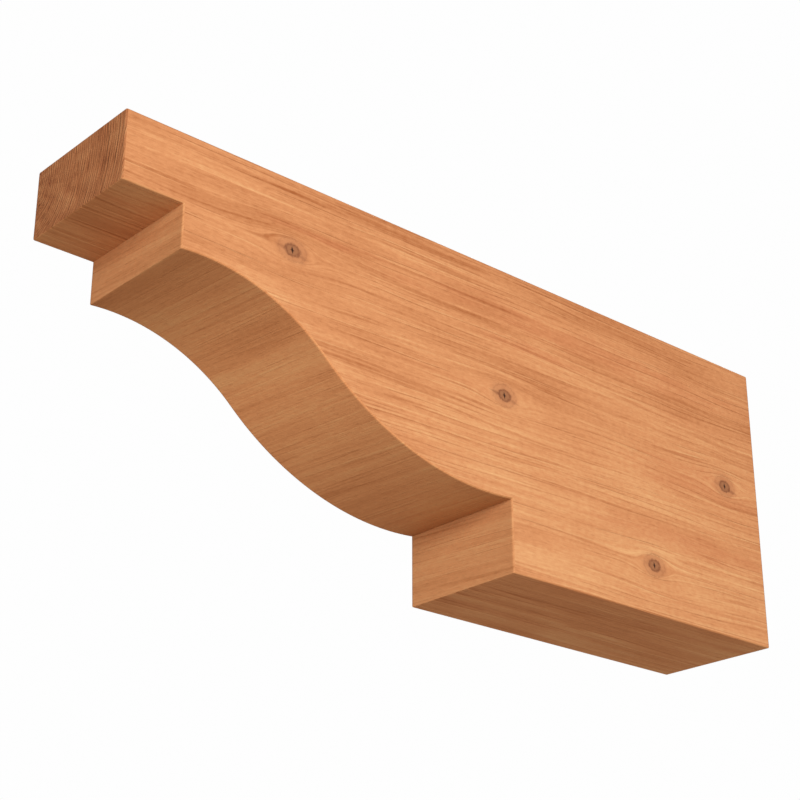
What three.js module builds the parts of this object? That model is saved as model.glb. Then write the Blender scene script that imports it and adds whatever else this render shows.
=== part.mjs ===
// A rafter tail: the shaped end of a roof timber, which shows under the eaves of a house.
// It is sawn from one timber, so the model is one solid.
// Units are millimetres. +Z is up, the tail points along -Y and its thickness lies along X.
// The origin is the centre of the flat back face, where the timber meets the building.

import * as THREE from 'three';

// The timber
const length = 610;
const height = 232;
const thickness = 105;

// The nose, a square block at the tail's end
const noseLength = 46;
const noseHeight = 51;

// The lip, the upright step behind the nose
const lipHeight = 32;

// The foot, the block at the back that keeps the timber's whole height
const footLength = 279;
const footStep = 54;

// The ogee from the lip to the foot: a hollow cove, then a round belly that is tangent to it.
// Both its ends rise a little, by these angles in degrees.
const coveRadius = 152;
const coveRise = 5.5;
const bellyRise = 5.5;

// The eased arrises along both sides, and how finely the round stretches are cut
const arris = 1;
const arrisFacets = 2;
const arcPieces = 16;

// Cedar, planed and unpainted
const cedar = new THREE.MeshStandardMaterial({ color: 0xd9985f, roughness: 0.7, metalness: 0 });

// Places along the tail (y) and up it (z)
const top = height / 2;
const bottom = -top;
const tailEnd = -length;
const lipFront = tailEnd + noseLength;
const noseBottom = top - noseHeight;
const lipBottom = noseBottom - lipHeight;
const footFront = -footLength;
const footTop = bottom + footStep;

// The centre of an arc that starts or ends at a point. The arc's normal there leans by the rise.
function arcCentre(point, radius, rise, side) {
  const lean = THREE.MathUtils.degToRad(rise);
  const normal = new THREE.Vector2(-Math.sin(lean), Math.cos(lean));
  return point.clone().addScaledVector(normal, side * radius);
}

// The belly's radius follows from the cove: two arcs of opposite bend touch where the
// distance between their centres is the sum of their radii.
function bellyRadius(coveCentre, bellyEnd) {
  const unitUp = arcCentre(new THREE.Vector2(), 1, bellyRise, 1);
  const gap = coveCentre.clone().sub(bellyEnd);
  return (gap.lengthSq() - coveRadius ** 2) / (2 * (coveRadius + gap.dot(unitUp)));
}

// Adds the ogee to an outline that has reached the lip's lower edge
function addOgee(outline) {
  const coveStart = new THREE.Vector2(lipFront, lipBottom);
  const bellyEnd = new THREE.Vector2(footFront, footTop);
  const coveCentre = arcCentre(coveStart, coveRadius, coveRise, -1);
  const radius = bellyRadius(coveCentre, bellyEnd);
  const bellyCentre = arcCentre(bellyEnd, radius, bellyRise, 1);
  const across = bellyCentre.clone().sub(coveCentre);
  const coveFrom = coveStart.clone().sub(coveCentre).angle();
  const bellyTo = bellyEnd.clone().sub(bellyCentre).angle();
  outline.absarc(coveCentre.x, coveCentre.y, coveRadius, coveFrom, across.angle(), true);
  outline.absarc(bellyCentre.x, bellyCentre.y, radius, across.angle() - Math.PI, bellyTo, false);
}

// The side view, y to the right and z up
function sideOutline() {
  const outline = new THREE.Shape();
  outline.moveTo(0, top);
  outline.lineTo(tailEnd, top);
  outline.lineTo(tailEnd, noseBottom);
  outline.lineTo(lipFront, noseBottom);
  outline.lineTo(lipFront, lipBottom);
  addOgee(outline);
  outline.lineTo(footFront, bottom);
  outline.lineTo(0, bottom);
  outline.closePath();
  return outline;
}

// The outline is carried through the thickness, and the arrises come off its two sides
function rafterTail() {
  const flatThickness = thickness - 2 * arris;
  const geometry = new THREE.ExtrudeGeometry(sideOutline(), {
    depth: flatThickness,
    curveSegments: arcPieces,
    bevelThickness: arris,
    bevelSize: arris,
    bevelOffset: -arris,
    bevelSegments: arrisFacets,
  });
  const mesh = new THREE.Mesh(geometry, cedar);
  mesh.name = 'rafter_tail';
  const quarterTurn = Math.PI / 2;
  mesh.rotation.set(quarterTurn, quarterTurn, 0);
  mesh.position.x = -flatThickness / 2;
  return mesh;
}

const part = new THREE.Group();
part.add(rafterTail());

export default part;
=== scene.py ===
"""A cedar rafter tail, seen from below as it hangs under the eaves. Metres, +Z up."""

import math

import bmesh
import bpy
import numpy as np
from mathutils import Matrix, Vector


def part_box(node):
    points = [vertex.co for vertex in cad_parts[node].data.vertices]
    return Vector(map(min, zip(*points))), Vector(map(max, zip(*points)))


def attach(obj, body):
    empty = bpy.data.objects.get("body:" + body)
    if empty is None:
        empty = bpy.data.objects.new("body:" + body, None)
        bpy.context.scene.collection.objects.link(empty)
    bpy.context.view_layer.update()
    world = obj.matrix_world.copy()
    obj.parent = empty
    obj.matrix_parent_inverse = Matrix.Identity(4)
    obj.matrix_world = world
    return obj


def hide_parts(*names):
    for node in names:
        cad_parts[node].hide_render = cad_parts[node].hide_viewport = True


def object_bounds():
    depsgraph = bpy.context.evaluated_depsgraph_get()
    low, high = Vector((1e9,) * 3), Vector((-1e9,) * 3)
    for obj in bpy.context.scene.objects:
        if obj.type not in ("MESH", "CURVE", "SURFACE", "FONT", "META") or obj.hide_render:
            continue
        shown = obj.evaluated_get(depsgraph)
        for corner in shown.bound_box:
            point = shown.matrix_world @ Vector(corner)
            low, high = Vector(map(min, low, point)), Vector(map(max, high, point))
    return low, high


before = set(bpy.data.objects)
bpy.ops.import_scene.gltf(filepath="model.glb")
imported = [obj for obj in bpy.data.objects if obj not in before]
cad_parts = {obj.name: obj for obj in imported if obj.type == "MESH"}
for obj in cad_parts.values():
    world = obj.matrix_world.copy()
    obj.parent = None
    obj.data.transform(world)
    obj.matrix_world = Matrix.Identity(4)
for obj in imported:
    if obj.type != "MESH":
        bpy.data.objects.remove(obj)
cad_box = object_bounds()

# The timber, from its solid, and the sizes of its shape
LOW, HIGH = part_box("rafter_tail")
THICKNESS = HIGH.x - LOW.x
NOSE_LENGTH = 0.046
NOSE_HEIGHT = 0.051
LIP_HEIGHT = 0.032
FOOT_LENGTH = 0.279
FOOT_STEP = 0.054
COVE_RADIUS = 0.152
RISE = math.radians(5.5)
ARRIS = 0.001

# The camera stands below the tail, to the right of its end
CAMERA_PLACE = (0.8807, -1.1128, -0.5071)
CAMERA_AZIMUTH = 48.606
CAMERA_ELEVATION = -23.926
CAMERA_LENS = 81.03
SENSOR_WIDTH = 36


def direction(azimuth, elevation):
    """The unit vector towards an azimuth from -Y round to +X and an elevation, in degrees."""
    a, e = math.radians(azimuth), math.radians(elevation)
    return Vector((math.sin(a) * math.cos(e), -math.cos(a) * math.cos(e), math.sin(e)))


def make_camera():
    camera = bpy.data.objects.new("camera", bpy.data.cameras.new("camera"))
    camera.data.lens = CAMERA_LENS
    camera.data.sensor_width = SENSOR_WIDTH
    camera.location = CAMERA_PLACE
    aim = -direction(CAMERA_AZIMUTH, CAMERA_ELEVATION)
    camera.rotation_mode = "QUATERNION"
    camera.rotation_quaternion = aim.to_track_quat("-Z", "Y")
    bpy.context.collection.objects.link(camera)
    bpy.context.scene.camera = camera


make_camera()


# The timber's form. The first row of points inside each edge of a face is this far from it.
EDGE_MARGIN = 0.0009


def spaced(length, count):
    """Places from 0 to length: both ends, and count even places kept a margin away from them."""
    inner = np.linspace(EDGE_MARGIN, length - EDGE_MARGIN, count)
    return np.concatenate([[0], inner, [length]])


def straight(start, end, count):
    """Points on a straight line between two points."""
    start, end = np.array(start), np.array(end)
    length = np.linalg.norm(end - start)
    return start + np.outer(spaced(length, count) / length, end - start)


def arc(centre, radius, start, end, count):
    """Points on an arc: the centre plus the radius along each angle from start to end."""
    angles = start + spaced(abs(end - start) * radius, count) / radius * np.sign(end - start)
    return centre + radius * np.stack([np.cos(angles), np.sin(angles)], axis=1)


LIP_FRONT = LOW.y + NOSE_LENGTH
FOOT_FRONT = HIGH.y - FOOT_LENGTH
COVE_START = np.array([LIP_FRONT, HIGH.z - NOSE_HEIGHT - LIP_HEIGHT])
BELLY_END = np.array([FOOT_FRONT, LOW.z + FOOT_STEP])
LEANING_UP = np.array([-math.sin(RISE), math.cos(RISE)])
COVE_CENTRE = COVE_START - COVE_RADIUS * LEANING_UP
GAP = COVE_CENTRE - BELLY_END
BELLY_RADIUS = (GAP @ GAP - COVE_RADIUS**2) / (2 * (COVE_RADIUS + GAP @ LEANING_UP))
BELLY_CENTRE = BELLY_END + BELLY_RADIUS * LEANING_UP
TURN = math.atan2(*(BELLY_CENTRE - COVE_CENTRE)[::-1])

# How many points each stretch of the underside has, and how many go up, across and round an arris
STRETCHES = {"nose": 18, "lip": 13, "cove": 46, "belly": 70, "step": 22, "foot": 96}
UPWARDS = 62
ACROSS = 38
ROUND_ARRIS = 4


def underside(inset):
    """The stretches of the underside in the YZ plane, each face moved inwards by the inset.

    The nose, the lip, the step and the foot are straight. The cove keeps its centre while its
    radius grows by the inset, and the belly keeps its centre while its radius shrinks by it.
    """
    lip, step = LIP_FRONT + inset, FOOT_FRONT + inset
    under_nose, bottom = HIGH.z - NOSE_HEIGHT + inset, LOW.z + inset
    cove, belly = COVE_RADIUS + inset, BELLY_RADIUS - inset
    cove_from = math.acos((lip - COVE_CENTRE[0]) / cove)
    belly_to = -math.acos((step - BELLY_CENTRE[0]) / belly)
    cove_start = COVE_CENTRE + cove * np.array([math.cos(cove_from), math.sin(cove_from)])
    belly_end = BELLY_CENTRE + belly * np.array([math.cos(belly_to), math.sin(belly_to)])
    return {
        "nose": straight((LOW.y + inset, under_nose), (lip, under_nose), STRETCHES["nose"]),
        "lip": straight((lip, under_nose), cove_start, STRETCHES["lip"]),
        "cove": arc(COVE_CENTRE, cove, cove_from, TURN, STRETCHES["cove"]),
        "belly": arc(BELLY_CENTRE, belly, TURN - math.pi, belly_to, STRETCHES["belly"]),
        "step": straight(belly_end, (step, bottom), STRETCHES["step"]),
        "foot": straight((step, bottom), (HIGH.y - inset, bottom), STRETCHES["foot"]),
    }


def joined(stretches):
    """The stretches as one line of points, and where each of them starts and ends in it."""
    points, spans, start = [], {}, 0
    for name, stretch in stretches.items():
        spans[name] = slice(start, start + len(stretch))
        points.append(stretch[:-1])
        start += len(stretch) - 1
    return np.concatenate(points + [stretch[-1:]]), spans


def above(line, spans, inset):
    """The point of the top edge that stands over each point of the underside.

    Over the nose they stand straight up. Over the lip and the step, which are upright, they
    move on by the height passed, and over the ogee and the foot they catch up evenly.
    """
    y = line[:, 0].copy()
    for upright, after in (("lip", ("cove", "belly")), ("step", ("foot",))):
        rise = line[spans[upright], 1]
        y[spans[upright]] += rise[0] - rise
        lean = rise[0] - rise[-1]
        later = slice(spans[after[0]].start + 1, spans[after[-1]].stop)
        left = line[later.stop - 1, 0] - line[later, 0]
        y[later] += lean * left / (line[later.stop - 1, 0] - line[later.start - 1, 0])
    return np.stack([y, np.full_like(y, HIGH.z - inset)], axis=1)


def sheet(inset):
    """A grid of points that fills the side view: straight lines from the underside to the top.

    The sharp outer corners of the outline are eased: each corner moves halfway to the middle
    of its two neighbours.
    """
    line, spans = joined(underside(inset))
    for corner in (spans["cove"].start, spans["foot"].start):
        line[corner] = line[corner] / 2 + (line[corner - 1] + line[corner + 1]) / 4
    top = above(line, spans, inset)
    height = np.linalg.norm(top - line, axis=1)
    share = np.stack([spaced(h, UPWARDS) / h for h in height])
    grid = line[:, None] + share[..., None] * (top - line)[:, None]
    for s, along in ((0, 1), (-1, -2)):
        for t, up in ((0, 1), (-1, -2)):
            grid[s, t] = grid[s, t] / 2 + (grid[along, t] + grid[s, up]) / 4
    return grid, spans


def block():
    """The whole timber as a bent box of points: sheets one after another through the thickness.

    Near each side the sheets follow a quarter circle, which makes the eased arris.
    """
    angles = np.linspace(0, math.pi / 2, ROUND_ARRIS)
    inward, inset = ARRIS * (1 - np.cos(angles)), ARRIS * (1 - np.sin(angles))
    middle = spaced(THICKNESS - 2 * ARRIS, ACROSS)[1:-1] + ARRIS
    x = np.concatenate([inward, middle, (THICKNESS - inward)[::-1]]) + LOW.x
    insets = np.concatenate([inset, np.zeros(ACROSS), inset[::-1]])
    sheets = [sheet(i)[0] for i in insets]
    places = [np.dstack([np.full(grid.shape[:2], at), grid]) for at, grid in zip(x, sheets)]
    return np.stack(places), sheet(0)[1]


# The tree's middle lay beside the timber, near the top of its left side. The growth rings seen
# on the ends are circles round it. A turn round it is measured on the ring at the pith's reach,
# and stretched, because the fibres there are cut short.
PITH = (-0.062, 0.108)
PITH_REACH = 0.12
SHORT_FIBRES = 5

# How far the grain of the lip, the ogee and the step slants, as a rise over the run
CROSS_SLANT = 0.06


def long_grain(points, across):
    """Grain along the length: the way along is y, and the way across is x or z."""
    return np.stack([points[..., 1], points[..., across]], axis=-1)


def cross_grain(points):
    """Grain across the thickness: the way along is x, and the way across is the distance
    walked along the outline, with a slight slant."""
    outline = points[0, :, 1:]
    steps = np.linalg.norm(np.diff(outline, axis=0), axis=1)
    walked = np.concatenate([[0], np.cumsum(steps)])
    return np.stack([points[..., 0], walked - points[..., 0] * CROSS_SLANT], axis=-1)


def end_grain(points):
    """Rings on an end: the way across is the distance from the pith, and the way along is the
    angle round it, as a distance on one ring and stretched."""
    x, z = points[..., 0] - PITH[0], points[..., 2] - PITH[1]
    around = np.arctan2(z, x) * PITH_REACH * SHORT_FIBRES
    return np.stack([around, np.hypot(x, z)], axis=-1)


def tail_faces():
    """Every face of the timber: its name, its grid of points, its grain and its material."""
    points, spans = block()
    ogee = slice(spans["cove"].start, spans["belly"].stop)
    under = points[:, :, 0]
    return [
        ("right", points[-1], long_grain(points[-1], 2), "side"),
        ("left", points[0, ::-1], long_grain(points[0, ::-1], 2), "side"),
        ("top", points[:, :, -1], long_grain(points[:, :, -1], 0), "side"),
        ("nose", under[:, spans["nose"]], long_grain(under[:, spans["nose"]], 0), "under"),
        ("lip", under[:, spans["lip"]], cross_grain(under[:, spans["lip"]]), "cross"),
        ("ogee", under[:, ogee], cross_grain(under[:, ogee]), "ogee"),
        ("step", under[:, spans["step"]], cross_grain(under[:, spans["step"]]), "cross"),
        ("foot", under[:, spans["foot"]], long_grain(under[:, spans["foot"]], 0), "under"),
        ("tail_end", points[:, 0], end_grain(points[:, 0]), "end"),
        ("back_end", points[:, -1], end_grain(points[:, -1]), "end"),
    ]


# Painted shade: the wood is darkened where less light falls, in the two inner corners and on the
# nose's underside, and on the arrises, where it dims the lamp's highlight. Each face's share of it
# in the two inner corners, how far from them it reaches, how much the lip's corner counts, the
# share of the nose's underside and of the arrises, and how wide the shade on an arris is
CORNER_SHADE_SHARES = {"ogee": 1, "lip": 0.3, "step": 0.22}
CORNER_SHADE_REACH = 0.06
LIP_CORNER_SHADE = 0.7
NOSE_SHADE = 0.35
ARRIS_SHADE = 0.35
ARRIS_SHADE_BAND = 0.9 * ARRIS


def darker(name, points):
    """How much painted shade each point of a face gets, from 0 to 1: an exponential fall with the
    distance from the inner corner at the step, and a weaker one from that at the lip, a share all
    over the nose's underside, and a band along the arrises."""
    to_lip = np.hypot(points[..., 1] - LIP_FRONT, points[..., 2] - HIGH.z + NOSE_HEIGHT)
    to_step = np.hypot(points[..., 1] - FOOT_FRONT, points[..., 2] - BELLY_END[1])
    lip_shade = LIP_CORNER_SHADE * np.exp(-to_lip / CORNER_SHADE_REACH)
    step_shade = np.exp(-to_step / CORNER_SHADE_REACH)
    shade_depth = np.maximum(lip_shade, step_shade) * CORNER_SHADE_SHARES.get(name, 0)
    if name == "nose":
        shade_depth = shade_depth + NOSE_SHADE
    if name not in ("right", "left"):
        from_side = THICKNESS / 2 - np.abs(points[..., 0])
        shade_depth = np.maximum(shade_depth, np.where(from_side < ARRIS_SHADE_BAND, ARRIS_SHADE, 0))
    return shade_depth


# The faces in their order along the endless wood, and how far apart they are taken from it
FACE_ORDER = (
    "right", "left", "top", "nose", "lip",
    "ogee", "step", "foot", "tail_end", "back_end",
)
FACE_STEP = 7.0


def face_offset(name):
    """Each face has its own stretch of the endless wood, so that no two look alike."""
    return FACE_STEP * FACE_ORDER.index(name)


def quads(rows, columns, start):
    """The corners of every square of a grid of points that are numbered from start."""
    index = start + np.arange(rows * columns).reshape(rows, columns)
    return np.stack([index[:-1, :-1], index[1:, :-1], index[1:, 1:], index[:-1, 1:]], axis=-1)


# Points closer than this are one point, and edges sharper than this stay sharp
WELD_REACH = 1e-7
SHARP_ANGLE = math.radians(60)


def weld(mesh):
    """Joins the faces where their edges meet, and points every face outwards."""
    welded = bmesh.new()
    welded.from_mesh(mesh)
    bmesh.ops.remove_doubles(welded, verts=welded.verts, dist=WELD_REACH)
    bmesh.ops.recalc_face_normals(welded, faces=welded.faces)
    welded.to_mesh(mesh)
    welded.free()


def make_timber(materials):
    """One closed mesh of all the faces, with a UV map that runs with and across the grain."""
    places, corners, grains, painted_shades, finishes = [], [], [], [], []
    start = 0
    for name, points, grain, finish in tail_faces():
        rows, columns = points.shape[:2]
        squares = quads(rows, columns, start).reshape(-1, 4)
        places.append(points.reshape(-1, 3))
        corners.append(squares)
        grains.append(grain.reshape(-1, 2) + (face_offset(name), 0))
        painted_shades.append(darker(name, points).ravel())
        finishes.append(np.full(len(squares), list(materials).index(finish)))
        start += rows * columns
    places, corners, grains, painted_shades = map(np.concatenate, (places, corners, grains, painted_shades))
    mesh = bpy.data.meshes.new("cedar_tail")
    mesh.from_pydata(places, [], corners)
    mesh.polygons.foreach_set("material_index", np.concatenate(finishes))
    mesh.uv_layers.new(name="grain").uv.foreach_set("vector", grains[corners.ravel()].ravel())
    # The painted shade at every point of every face, which the materials darken the wood by
    dark = mesh.attributes.new("darker", "FLOAT", "CORNER")
    dark.data.foreach_set("value", painted_shades[corners.ravel()])
    for material in materials.values():
        mesh.materials.append(material)
    weld(mesh)
    mesh.shade_smooth()
    mesh.set_sharp_from_angle(angle=SHARP_ANGLE)
    timber = bpy.data.objects.new("cedar_tail", mesh)
    bpy.context.collection.objects.link(timber)
    weighted = timber.modifiers.new("flat faces stay flat", "WEIGHTED_NORMAL")
    weighted.keep_sharp = True
    return timber


# Shader sums

class Value:
    """A number in a material. Sums on it add Math nodes."""

    def __init__(self, shader, socket):
        self.shader, self.socket = shader, socket

    def __add__(self, other):
        return self.shader.math("ADD", self, other)

    def __sub__(self, other):
        return self.shader.math("SUBTRACT", self, other)

    def __rsub__(self, other):
        return self.shader.math("SUBTRACT", other, self)

    def __mul__(self, other):
        return self.shader.math("MULTIPLY", self, other)

    def __truediv__(self, other):
        return self.shader.math("DIVIDE", self, other)

    __radd__ = __add__
    __rmul__ = __mul__


class Shader:
    """A material under construction."""

    def __init__(self, name):
        self.material = bpy.data.materials.new(name)
        self.material.use_nodes = True
        self.tree = self.material.node_tree
        self.tree.nodes.clear()

    def node(self, kind, settings=None, inputs=None):
        """Adds a node, gives it its settings, and then sets or links its sockets."""
        made = self.tree.nodes.new(kind)
        for key, value in (settings or {}).items():
            if key == "stops":
                self.set_stops(made.color_ramp, value)
            else:
                setattr(made, key, value)
        for key, value in (inputs or {}).items():
            if isinstance(value, Value):
                value = value.socket
            if isinstance(value, bpy.types.NodeSocket):
                self.tree.links.new(value, made.inputs[key])
            else:
                made.inputs[key].default_value = value
        return made

    @staticmethod
    def set_stops(ramp, stops):
        """Gives a colour ramp its places and colours."""
        while len(ramp.elements) < len(stops):
            ramp.elements.new(1)
        for element, (place, colour) in zip(ramp.elements, stops):
            element.position, element.color = place, (*colour, 1)

    def math(self, operation, *terms):
        made = self.node("ShaderNodeMath", {"operation": operation}, dict(enumerate(terms)))
        return Value(self, made.outputs[0])

    def smooth(self, value, low, high):
        """0 below low, 1 above high, and a soft step between them."""
        settings = {"interpolation_type": "SMOOTHSTEP"}
        inputs = {"Value": value, "From Min": low, "From Max": high}
        return Value(self, self.node("ShaderNodeMapRange", settings, inputs).outputs[0])

    def noise(self, along, across, detail=2.0):
        """Noise between 0 and 1 on a plane. More detail adds finer marks, each half as strong."""
        place = self.node("ShaderNodeCombineXYZ", inputs={"X": along, "Y": across})
        inputs = {"Vector": place.outputs[0], "Scale": 1, "Detail": detail, "Roughness": 0.5}
        made = self.node("ShaderNodeTexNoise", {"noise_dimensions": "2D"}, inputs)
        return Value(self, made.outputs["Fac"])

    def swing(self, along, across, detail=2.0):
        """Noise that swings to both sides of 0, by less than a half."""
        return self.noise(along, across, detail) - 0.5

    def size(self, value):
        """How far a value is from 0."""
        return self.math("ABSOLUTE", value)

    def mix(self, share, first, second, blend="MIX"):
        """Mixes two colours."""
        settings = {"data_type": "RGBA", "blend_type": blend}
        inputs = {0: share, 6: first, 7: second}
        return self.node("ShaderNodeMix", settings, inputs).outputs[2]


def linear(red, green, blue):
    """A screen colour of 0 to 255 as the linear colour that a shader takes."""
    shares = [c / 255 for c in (red, green, blue)]
    return [c / 12.92 if c <= 0.04045 else ((c + 0.055) / 1.055) ** 2.4 for c in shares]


def colour(*screen):
    """The same with an opaque alpha, for a shader's colour socket."""
    return (*linear(*screen), 1)


# Knots on the sides and the top: face, place along and across in metres, radius in millimetres,
# and how dark the wood is beside it, on the tail's side and on the building's
KNOTS = [
    ("right", -0.4770, 0.0628, 4.8, 0.30, 0.30),
    ("right", -0.2837, 0.0153, 4.7, 0.50, 0.30),
    ("right", -0.0404, 0.0083, 4.8, 0.20, 0.45),
    ("right", -0.1312, -0.0777, 4.8, 0.15, 0.12),
    ("left", -0.3900, 0.0420, 4.8, 0.40, 0.30),
    ("left", -0.1500, -0.0300, 4.2, 0.30, 0.45),
    ("top", -0.2200, 0.0180, 4.6, 0.40, 0.30),
]

# Red streaks of heartwood: face, middle along and across, half length and half width in metres
RED_STREAKS = [
    ("right", -0.190, 0.078, 0.250, 0.013),
    ("right", -0.255, 0.058, 0.060, 0.007),
    ("right", -0.070, 0.004, 0.110, 0.020),
    ("right", -0.455, 0.078, 0.060, 0.005),
    ("right", -0.100, -0.052, 0.150, 0.013),
    ("left", -0.250, -0.040, 0.200, 0.016),
    ("top", -0.400, -0.010, 0.180, 0.014),
]


# The layers of the wood's tone: the length and the width of each one's marks in millimetres, how
# detailed it is, and whether it flows round the knots
LAYERS = {
    "band": (420, 17, 2, True),
    "patch": (110, 42, 2, False),
    "streak": (120, 2.6, 3, True),
    "dash": (9, 1.15, 2, True),
    "fleck": (5, 2.6, 2, False),
    "fibre": (24, 0.6, 2, True),
}
MIDDLE_TONE = 0.5

# Where in the endless noise some patterns are taken, so that they don't run alike
PLACES = {"line": 3, "fine_line": 11, "years": 20, "red": 40, "broken": 50, "uneven": 70}

# Millimetres in a metre
MM = 1000

# The way the grain bends round a knot: its reach in radii, and how drawn out it is
BEND_REACH = 1.5
BEND_LENGTH = 6.5

# The sway of the grain: the length and the width in millimetres of the slow one and of the quick
# one, and how strong the quick one is beside the slow one
SLOW_SWAY = (330, 70)
QUICK_SWAY = (75, 15)
QUICK_SHARE = 0.18

# The growth lines: how long they run in millimetres, the widths of the coarse and the fine ones on
# their noise, and how close the fine ones are
LINE_RUN = 420
LINE_WIDTH = 0.056
FINE_WIDTH = 0.08
FINE_SPACING = 0.45

# Where they are in sight: the length in millimetres and the width in spacings of such a stretch,
# and where on its noise it starts and is full
SIGHT_LENGTH = 100
SIGHT_SPACING = 0.8
SIGHT_EDGE = (0.34, 0.62)

# The pale line beside each: how strong, how far off and how wide it is beside the dark one
PALE_LINE = 0.6
PALE_PLACE = 1.6
PALE_WIDTH = 1.3

# The pores: their length and width in millimetres, and where on their noise one starts and is full
PORES = (8, 0.75)
PORE_EDGE = (0.64, 0.8)

# The years on the ends: how wide one is in millimetres, how dark on average, how many years they
# stray, over what length and width, and in which part of itself a year darkens and ends
YEAR_WIDTH = 2.7
YEAR_DARKNESS = 0.35
YEARS_STRAY = 2
STRAY_SIZE = (900, 14)
YEAR_DARKENS = (0.1, 0.9)
YEAR_ENDS = (0.92, 1)

# The red heartwood: the length and width of its bands in millimetres, and where on their noise one
# starts and is full
RED_BANDS = (260, 12)
RED_BAND_EDGE = (0.5, 0.8)

# Its streaks: how much of the full red they have, where they fade, as a share of their half sizes,
# and how ragged their edges are, over what length and width
STREAK_RED = 0.8
STREAK_EDGE = (0.1, 1.1)
STREAK_RAGGED = 1.4
STREAK_RAGS = (45, 5)

# The knots: how drawn out they are, and how ragged and over what size in millimetres
KNOT_LENGTH = 1.9
KNOT_RAGGED = 1.8
KNOT_RAGS = 2.6

# In radii from a knot's middle: where the dark ring starts and is full, where the knot ends, where
# the faint outer ring is, where the shade starts and ends, and how far off the dashes are, along
# the grain and the second one across it
DARK_RING = (0.55, 0.9)
KNOT_EDGE = (0.82, 1.2)
OUTER_RING = 1.75
KNOT_SHADE = (0.8, 2.6)
DASH_BEFORE = 1.75
DASH_BEHIND = 1.8
DASH_ACROSS = 0.6

# The outer ring's soft edge, the size of its gaps in millimetres, and where on their noise they are
OUTER_EDGE = (0.1, 1.3)
GAP_SIZE = 1.9
GAP_EDGE = (0.3, 0.6)

# The check in a knot: its lean, then for each of its two arms how fast it narrows along and across
# the grain, where it ends in millimetres, and how dark the second one is
CRACK_LEAN = 0.12
LONG_ARM = (1.05, 0.4)
LONG_ARM_EDGE = (0.55, 1.45)
SHORT_ARM = (0.6, 2.2)
SHORT_ARM_EDGE = (0.5, 1.7)
SHORT_ARM_DARK = 0.7

# A dash: its lean, how fast it narrows along the grain, how ragged it is, and where it ends
DASH_LEAN = 0.16
DASH_TAPER = 0.27
DASH_RAGGED = 0.4
DASH_EDGE = (0.4, 2.5)

# How strongly each of a knot's colours covers the wood. The dark ring has a least strength, and
# more of it where it isn't broken.
SHADE_COVERS = 0.75
MIDDLE_COVERS = 0.85
RING_COVERS = (0.3, 0.4)
OUTER_COVERS = 0.3

# The finish: bare planed wood, whose pale parts are a little smoother
ROUGHNESS = 0.74
ROUGHNESS_SWING = 0.3
GLOSS = 0.22
BUMP_DEPTH = 0.0012
CRACK_DEPTH = 0.5


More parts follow.
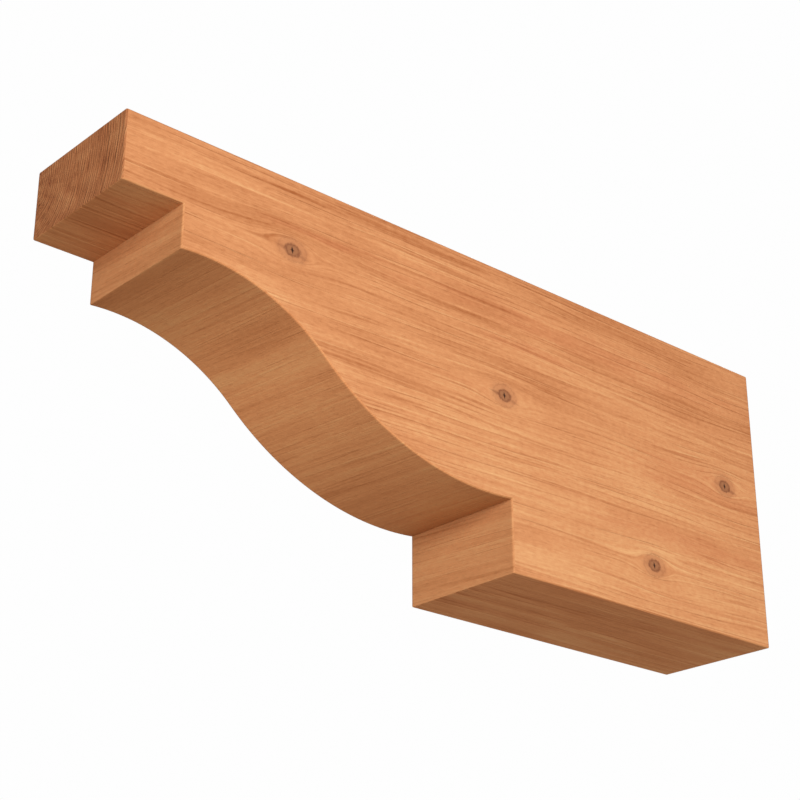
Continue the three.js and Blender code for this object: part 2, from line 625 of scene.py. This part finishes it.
class Cedar(Shader):
    """Cedar: thin dark growth lines that run with the grain and flow round the knots, over soft
    bands of colour, with short fibres and flecks. All lengths inside are millimetres."""

    def __init__(self, name, look):
        super().__init__(name)
        self.look = look
        self.knots = KNOTS if look["knotted"] else []
        self.streaks = RED_STREAKS if look["knotted"] else []
        uv = self.node("ShaderNodeUVMap", {"uv_map": "grain"})
        apart = self.node("ShaderNodeSeparateXYZ", inputs={0: uv.outputs[0]})
        self.along = Value(self, apart.outputs["X"]) * MM
        self.across = Value(self, apart.outputs["Y"]) * MM
        self.ringwise = self.flow() + self.wander()
        tone = self.tone()
        ramp = self.node("ShaderNodeValToRGB", {"stops": look["stops"]}, {0: tone})
        wood = self.mix(self.redness(), ramp.outputs[0], look["red"], "MULTIPLY")
        # Painted shade: the wood is multiplied towards the look's shade colour in the inner
        # corners, under the nose and on the arrises, by the share that each point was given
        darker = self.node("ShaderNodeAttribute", {"attribute_name": "darker"})
        wood = self.mix(darker.outputs["Fac"], wood, look["darker"], "MULTIPLY")
        relief = tone
        if self.knots:
            wood, cracks = self.knotted(wood)
            relief = tone - cracks * CRACK_DEPTH
        self.finish(wood, tone, relief)

    def away_from(self, face, along, across):
        """The distances along and across the grain from a place on a face, given in metres."""
        du = self.along - (face_offset(face) + along) * MM
        return du, self.across - across * MM

    def within(self, far, radius, edge):
        """1 nearer than the first of two edges given in radii, and 0 beyond the second."""
        return 1 - self.smooth(far, radius * edge[0], radius * edge[1])

    def flow(self):
        """The way across, bent so that the grain passes each knot as water passes a post: it
        moves by the knot's squared reach times dv over the squared distance."""
        flow = self.across
        for face, along, across, radius, *_ in self.knots:
            du, dv = self.away_from(face, along, across)
            reach = (radius * BEND_REACH) ** 2
            far = du * du / BEND_LENGTH + dv * dv
            flow = flow - dv * reach / self.math("MAXIMUM", far, reach)
        return flow

    def wander(self):
        """How far the grain sways from straight, slowly and then a little faster."""
        slow = self.swing(self.along / SLOW_SWAY[0], self.across / SLOW_SWAY[1])
        quick = self.swing(self.along / QUICK_SWAY[0], self.across / QUICK_SWAY[1])
        return slow * self.look["wander"] + quick * (self.look["wander"] * QUICK_SHARE)

    def lines(self, spacing, width, place):
        """Thin dark lines where a long noise passes its middle, and a pale line beside each.
        They come and go along the grain."""
        field = self.swing(self.along / LINE_RUN + place, self.ringwise / spacing, 1)
        dark = 1 - self.smooth(self.size(field), 0, width)
        pale = 1 - self.smooth(self.size(field - width * PALE_PLACE), 0, width * PALE_WIDTH)
        sight_width = spacing * SIGHT_SPACING
        in_sight = self.noise(self.along / SIGHT_LENGTH + place, self.ringwise / sight_width)
        return (dark - pale * PALE_LINE) * self.smooth(in_sight, *SIGHT_EDGE)

    def tone(self):
        """How light the wood is: its layers over the middle tone, less the pores, the years and
        the growth lines."""
        look = self.look
        tone = MIDDLE_TONE - self.across * look["drift"]
        for layer, (length, width, detail, flows) in LAYERS.items():
            across = self.ringwise if flows else self.across
            tone = tone + self.swing(self.along / length, across / width, detail) * look[layer]
        pores = self.noise(self.along / PORES[0], self.ringwise / PORES[1], 1)
        tone = tone - self.smooth(pores, *PORE_EDGE) * look["pore"]
        if look["years"]:
            tone = tone - (self.years() - YEAR_DARKNESS) * look["years"]
        spacing = look["spacing"]
        tone = tone - self.lines(spacing, LINE_WIDTH, PLACES["line"]) * look["line"]
        fine = self.lines(spacing * FINE_SPACING, FINE_WIDTH, PLACES["fine_line"])
        return tone - fine * look["fine_line"]

    def years(self):
        """Growth rings: each darkens outwards and ends sharply, and some years are wider."""
        length, width = STRAY_SIZE
        stray = self.noise(self.along / length, self.across / width + PLACES["years"])
        share = self.math("FRACT", self.ringwise / YEAR_WIDTH + stray * YEARS_STRAY)
        return self.smooth(share, *YEAR_DARKENS) * (1 - self.smooth(share, *YEAR_ENDS))

    def redness(self):
        """Heartwood: faint red bands all over, and the streaks of the list."""
        length, width = RED_BANDS
        red = self.noise(self.along / length, self.ringwise / width + PLACES["red"])
        red = self.smooth(red, *RED_BAND_EDGE) * self.look["redness"]
        length, width = STREAK_RAGS
        ragged = self.swing(self.along / length, self.ringwise / width + PLACES["uneven"])
        for face, along, across, half_length, half_width in self.streaks:
            du = (self.along - (face_offset(face) + along) * MM) / (half_length * MM)
            dv = (self.ringwise - across * MM) / (half_width * MM)
            far = self.math("SQRT", du * du + dv * dv) + ragged * STREAK_RAGGED
            red = red + (1 - self.smooth(far, *STREAK_EDGE)) * STREAK_RED
        return self.math("MINIMUM", red, 1)

    def knotted(self, wood):
        """The knots: a dark ring round a paler middle with a crack, a soft shade about it, and a
        dark dash on both sides where the grain closes again."""
        ring, middle, shade, cracks, dashes = 0, 0, 0, 0, 0
        ragged = self.swing(self.along / KNOT_RAGS, self.across / KNOT_RAGS) * KNOT_RAGGED
        broken = self.noise(self.along / GAP_SIZE + PLACES["broken"], self.across / GAP_SIZE)
        broken = self.smooth(broken, *GAP_EDGE)
        for face, along, across, radius, before, behind in self.knots:
            du, dv = self.away_from(face, along, across)
            far = self.math("SQRT", du * du / KNOT_LENGTH + dv * dv) + ragged
            inside = self.within(far, radius, KNOT_EDGE)
            middle = middle + inside
            ring = ring + (1 - self.within(far, radius, DARK_RING)) * inside
            outer = 1 - self.smooth(self.size(far - radius * OUTER_RING), *OUTER_EDGE)
            ring = ring + outer * broken * OUTER_COVERS
            shade = shade + self.within(far, radius, KNOT_SHADE) * (1 - inside)
            cracks = cracks + self.crack(du, dv)
            dashes = dashes + self.dash(du + radius * DASH_BEFORE, dv, ragged) * before
            beyond = self.dash(du - radius * DASH_BEHIND, dv + radius * DASH_ACROSS, ragged)
            dashes = dashes + beyond * behind
        look = self.look
        least, more = RING_COVERS
        wood = self.mix(shade * SHADE_COVERS, wood, look["knot_shade"])
        wood = self.mix(middle * MIDDLE_COVERS, wood, look["knot_middle"])
        wood = self.mix(ring * (broken * more + least), wood, look["knot_ring"])
        wood = self.mix(dashes, wood, look["knot_ring"])
        return self.mix(cracks, wood, look["knot_crack"]), cracks

    def crack(self, du, dv):
        """A short check across the grain, and a fainter one along it. Each fades by the sum of
        the distances along and across the grain, which count as its arm says."""
        leaning, level = self.size(du + dv * CRACK_LEAN), self.size(dv)
        long_arm = leaning * LONG_ARM[0] + level * LONG_ARM[1]
        short_arm = self.size(du) * SHORT_ARM[0] + level * SHORT_ARM[1]
        dark = 1 - self.smooth(long_arm, *LONG_ARM_EDGE)
        fainter = 1 - self.smooth(short_arm, *SHORT_ARM_EDGE)
        return self.math("MAXIMUM", dark, fainter * SHORT_ARM_DARK)

    def dash(self, du, dv, ragged):
        """A short soft mark along the grain, a little slanting."""
        slant = self.size(dv + du * DASH_LEAN)
        far = slant + self.size(du) * DASH_TAPER + ragged * DASH_RAGGED
        return 1 - self.smooth(far, *DASH_EDGE)

    def finish(self, wood, tone, relief):
        """The bare wood's shader, with its bump."""
        inputs = {"Height": relief, "Strength": self.look["bump"], "Distance": BUMP_DEPTH}
        bump = self.node("ShaderNodeBump", inputs=inputs)
        inputs = {
            "Base Color": wood,
            "Roughness": ROUGHNESS - (tone - MIDDLE_TONE) * ROUGHNESS_SWING,
            "Specular IOR Level": GLOSS,
            "Normal": bump.outputs[0],
        }
        shader = self.node("ShaderNodeBsdfPrincipled", inputs=inputs)
        self.node("ShaderNodeOutputMaterial", inputs={0: shader.outputs[0]})


# The looks of the faces. Each has the sway of the grain and the spacing of the growth lines in
# millimetres, then how strong the years, the lines, the layers and the pores are, how much darker
# the wood gets upwards in a millimetre, how red it is, how strong its bump is, its colours, and the
# colour that the painted shade in corners, under the nose and on arrises multiplies the wood by.
# The stops run from the darkest tone to the palest.
SIDE_LOOK = {
    "knotted": True,
    "wander": 9,
    "spacing": 6,
    "years": 0,
    "line": 0.2,
    "fine_line": 0.07,
    "band": 0.36,
    "patch": 0.3,
    "streak": 0.24,
    "dash": 0.18,
    "fleck": 0.2,
    "fibre": 0.12,
    "pore": 0.08,
    "drift": 0.0009,
    "redness": 0.22,
    "bump": 0.8,
    "stops": [
        (0.0, linear(167, 93, 47)),
        (0.5, linear(219, 150, 100)),
        (1.0, linear(250, 198, 139)),
    ],
    "red": colour(246, 234, 232),
    # The colour that the painted shade multiplies the wood by
    "darker": (0.7, 0.72, 0.65, 1),
    "knot_shade": colour(194, 130, 88),
    "knot_middle": colour(158, 104, 70),
    "knot_ring": colour(126, 72, 46),
    "knot_crack": colour(56, 29, 19),
}
UNDER_LOOK = SIDE_LOOK | {
    "knotted": False,
    "line": 0.18,
    "fine_line": 0.08,
    "band": 0.46,
    "patch": 0.42,
    "redness": 0.55,
    "streak": 0.15,
    "dash": 0.14,
    "fleck": 0.12,
    "drift": 0,
    "stops": [
        (0.0, linear(166, 90, 45)),
        (0.5, linear(217, 145, 94)),
        (1.0, linear(246, 191, 133)),
    ],
}
CROSS_LOOK = UNDER_LOOK | {
    "wander": 3,
    "line": 0.12,
    "fine_line": 0.05,
    "band": 0.32,
    "patch": 0.26,
    "redness": 0.1,
    "stops": [
        (0.0, linear(172, 99, 49)),
        (0.5, linear(229, 159, 106)),
        (1.0, linear(251, 206, 145)),
    ],
    # A deeper painted shade in the inner corners of the cross grain
    "darker": (0.64, 0.61, 0.54, 1),
}
# The ogee's look: the cross grain's, with stops that are redder, partly the wood's own tone and
# partly painted light that brightens the ogee, and a deeper painted shade towards its inner corners
OGEE_LOOK_PAINTED_LIGHT = CROSS_LOOK | {
    "stops": [
        (0.0, linear(177, 97, 47)),
        (0.5, linear(233, 158, 103)),
        (1.0, linear(255, 205, 141)),
    ],
    # A deeper painted shade still, in the ogee's inner corners
    "darker": (0.62, 0.59, 0.53, 1),
}
END_LOOK = UNDER_LOOK | {
    "wander": 4,
    "spacing": 4.6,
    "years": 0.22,
    "line": 0.18,
    "fine_line": 0.14,
    "band": 0.24,
    "dash": 0.13,
    "fleck": 0.16,
    "bump": 1.0,
    "stops": [
        (0.0, linear(134, 71, 38)),
        (0.5, linear(194, 124, 79)),
        (1.0, linear(232, 172, 118)),
    ],
}

FINISHES = {
    "side": Cedar("cedar_side", SIDE_LOOK).material,
    "under": Cedar("cedar_underside", UNDER_LOOK).material,
    "cross": Cedar("cedar_cross_grain", CROSS_LOOK).material,
    "ogee": Cedar("cedar_ogee_painted_light", OGEE_LOOK_PAINTED_LIGHT).material,
    "end": Cedar("cedar_end_grain", END_LOOK).material,
}
timber = make_timber(FINISHES)
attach(timber, "root")
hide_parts("rafter_tail")


# The floor, the light and the air around

FLOOR_HEIGHT = -3.0
FLOOR_RADIUS = 2.8
FLOOR_CORNERS = 96
FLOOR_COLOUR = (0.86, 0.82, 0.76, 1)
FLOOR_ROUGHNESS = 0.8
SEEN_AIR = (0.99, 0.99, 0.99, 1)
FELT_AIR = (0.215, 0.192, 0.167, 1)


def make_floor():
    """A round pale floor far below the timber: points on a circle, joined by one face."""
    angles = np.linspace(0, 2 * math.pi, FLOOR_CORNERS, endpoint=False)
    circle = FLOOR_RADIUS * np.stack([np.cos(angles), np.sin(angles)], axis=1)
    corners = np.column_stack([circle, np.full(len(circle), FLOOR_HEIGHT)])
    mesh = bpy.data.meshes.new("floor")
    mesh.from_pydata(corners, [], [range(len(corners))])
    paint = Shader("pale_floor")
    inputs = {"Base Color": FLOOR_COLOUR, "Roughness": FLOOR_ROUGHNESS}
    shader = paint.node("ShaderNodeBsdfPrincipled", inputs=inputs)
    paint.node("ShaderNodeOutputMaterial", inputs={0: shader.outputs[0]})
    mesh.materials.append(paint.material)
    floor = bpy.data.objects.new("floor", mesh)
    bpy.context.collection.objects.link(floor)


def make_lamp(name, towards, distance, size, strength):
    """A round lamp in a direction from the timber's middle, aimed at it. A strength of 1 lights
    a face that looks straight at it fully."""
    lamp = bpy.data.lights.new(name, "AREA")
    lamp.shape = "DISK"
    lamp.size = size
    lamp.energy = strength * (math.pi * distance) ** 2
    place = bpy.data.objects.new(name, lamp)
    place.location = (cad_box[0] + cad_box[1]) / 2 + towards * distance
    place.rotation_mode = "QUATERNION"
    place.rotation_quaternion = (-towards).to_track_quat("-Z", "Y")
    place.visible_camera = False
    bpy.context.collection.objects.link(place)


def make_lights():
    make_lamp("key", direction(61.4, 0), distance=4, size=2, strength=0.998)
    make_lamp("fill", direction(218, 38), distance=3.4, size=1.8, strength=0.75)


def make_air():
    """White where the camera sees it, and a dimmer light on the timber."""
    world = bpy.data.worlds.new("air")
    world.use_nodes = True
    tree = world.node_tree
    tree.nodes.clear()
    path = tree.nodes.new("ShaderNodeLightPath")
    seen, felt = (tree.nodes.new("ShaderNodeBackground") for _ in range(2))
    seen.inputs["Color"].default_value = SEEN_AIR
    felt.inputs["Color"].default_value = FELT_AIR
    pick = tree.nodes.new("ShaderNodeMixShader")
    out = tree.nodes.new("ShaderNodeOutputWorld")
    tree.links.new(path.outputs["Is Camera Ray"], pick.inputs[0])
    tree.links.new(felt.outputs[0], pick.inputs[1])
    tree.links.new(seen.outputs[0], pick.inputs[2])
    tree.links.new(pick.outputs[0], out.inputs[0])
    bpy.context.scene.world = world


make_floor()
make_lights()
make_air()
bpy.context.scene.view_settings.view_transform = "Standard"
